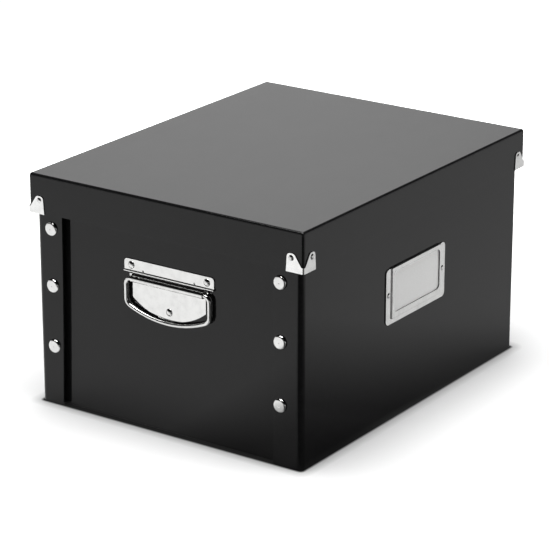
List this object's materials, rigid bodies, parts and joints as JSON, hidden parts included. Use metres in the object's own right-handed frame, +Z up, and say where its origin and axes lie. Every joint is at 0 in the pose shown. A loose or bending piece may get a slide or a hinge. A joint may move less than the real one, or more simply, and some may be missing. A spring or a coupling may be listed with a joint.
{
  "type": "archival box",
  "caption": "Rectangular lidded storage box of glossy laminated board that snaps together at the corners, with metal bail handles, a label holder and a lift-off lid with metal corners.",
  "frame": {"origin": "centre of the box's underside", "axes": "+Z up; X across the width, with the label holder on +X; Y along the depth, with the front handle facing -Y"},
  "size_m": [0.285, 0.356, 0.208],
  "materials": {
    "body_board": "black gloss laminate on solid greyboard",
    "lid_board": "black satin-gloss laminate on solid greyboard",
    "chrome_plate": "bright nickel-chrome plate",
    "spring_steel": "plain plated steel",
    "label_card": "matt light-grey card"
  },
  "bodies": {
    "box_body": {"bottom_panel": "body_board", "end_wall_front": "body_board", "end_wall_rear": "body_board", "flap_front_left": "body_board", "flap_front_right": "body_board", "flap_rear_left": "body_board", "flap_rear_right": "body_board", "handle_front_backplate": "chrome_plate", "handle_front_rivets": "chrome_plate", "handle_front_washers": "spring_steel", "handle_rear_backplate": "chrome_plate", "handle_rear_rivets": "chrome_plate", "handle_rear_washers": "spring_steel", "label_holder": "chrome_plate", "label_holder_rivets": "chrome_plate", "side_wall_left": "body_board", "side_wall_right": "body_board", "stud_caps_front_left": "chrome_plate", "stud_caps_front_right": "chrome_plate", "stud_caps_rear_left": "chrome_plate", "stud_caps_rear_right": "chrome_plate", "stud_knobs_front_left": "spring_steel", "stud_knobs_front_right": "spring_steel", "stud_knobs_rear_left": "spring_steel", "stud_knobs_rear_right": "spring_steel", "stud_posts_front_left": "spring_steel", "stud_posts_front_right": "spring_steel", "stud_posts_rear_left": "spring_steel", "stud_posts_rear_right": "spring_steel", "stud_sockets_front_left": "spring_steel", "stud_sockets_front_right": "spring_steel", "stud_sockets_rear_left": "spring_steel", "stud_sockets_rear_right": "spring_steel"},
    "lid": {"lid_bracket_front_left": "chrome_plate", "lid_bracket_front_right": "chrome_plate", "lid_bracket_rear_left": "chrome_plate", "lid_bracket_rear_right": "chrome_plate", "lid_rivets_front": "chrome_plate", "lid_rivets_left": "chrome_plate", "lid_rivets_rear": "chrome_plate", "lid_rivets_right": "chrome_plate", "lid_skirt_front": "lid_board", "lid_skirt_left": "lid_board", "lid_skirt_rear": "lid_board", "lid_skirt_right": "lid_board", "lid_top": "lid_board"},
    "front_bail": {"handle_front_bail": "chrome_plate"},
    "rear_bail": {"handle_rear_bail": "chrome_plate"},
    "label_card": {"label_card": "label_card"}
  },
  "joints": [
    {"name": "lid_lift", "type": "slide", "parent": "box_body", "child": "lid", "axis": [0, 0, 1], "range_m": [0, 0.25]},
    {"name": "front_bail_swing", "type": "hinge", "parent": "box_body", "child": "front_bail", "pos_m": [0, -0.1696, 0.1319], "axis": [-1, 0, 0], "range_deg": [0, 170]},
    {"name": "rear_bail_swing", "type": "hinge", "parent": "box_body", "child": "rear_bail", "pos_m": [0, 0.1696, 0.1319], "axis": [1, 0, 0], "range_deg": [0, 170]},
    {"name": "label_card_slide", "type": "slide", "parent": "box_body", "child": "label_card", "axis": [0, 0, 1], "range_m": [0, 0.048]}
  ]
}
